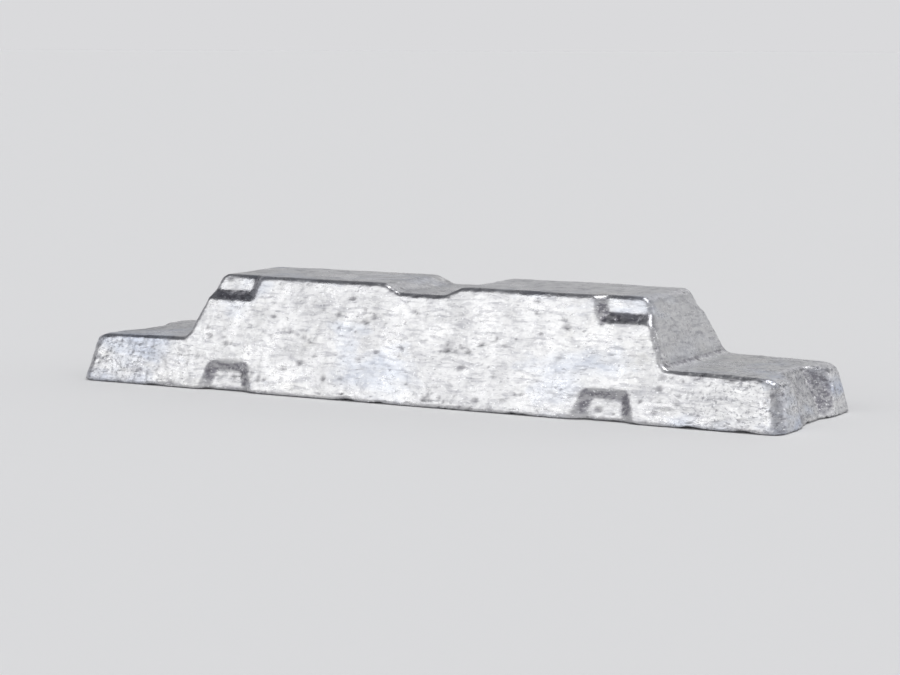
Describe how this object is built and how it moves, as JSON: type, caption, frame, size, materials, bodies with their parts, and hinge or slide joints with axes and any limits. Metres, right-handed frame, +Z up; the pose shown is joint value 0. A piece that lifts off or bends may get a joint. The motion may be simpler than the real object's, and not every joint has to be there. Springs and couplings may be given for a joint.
{
  "type": "aluminium ingot",
  "caption": "Cast aluminium ingot: a drafted trapezoid bar with stepped, hollowed end ears, corner notches, arched side pockets and a shallow saddle.",
  "frame": {"origin": "middle of the wide face that the ingot lies on", "axes": "+X along the ingot from end to end, +Y across it from side to side, +Z up from the wide face to the narrow face"},
  "size_m": [0.72, 0.17, 0.106],
  "materials": {
    "cast_aluminium": "as cast: dull silver with a rough, pitted mould skin and fine lap ripples"
  },
  "bodies": {
    "root": {"ingot": "cast_aluminium"}
  },
  "joints": []
}
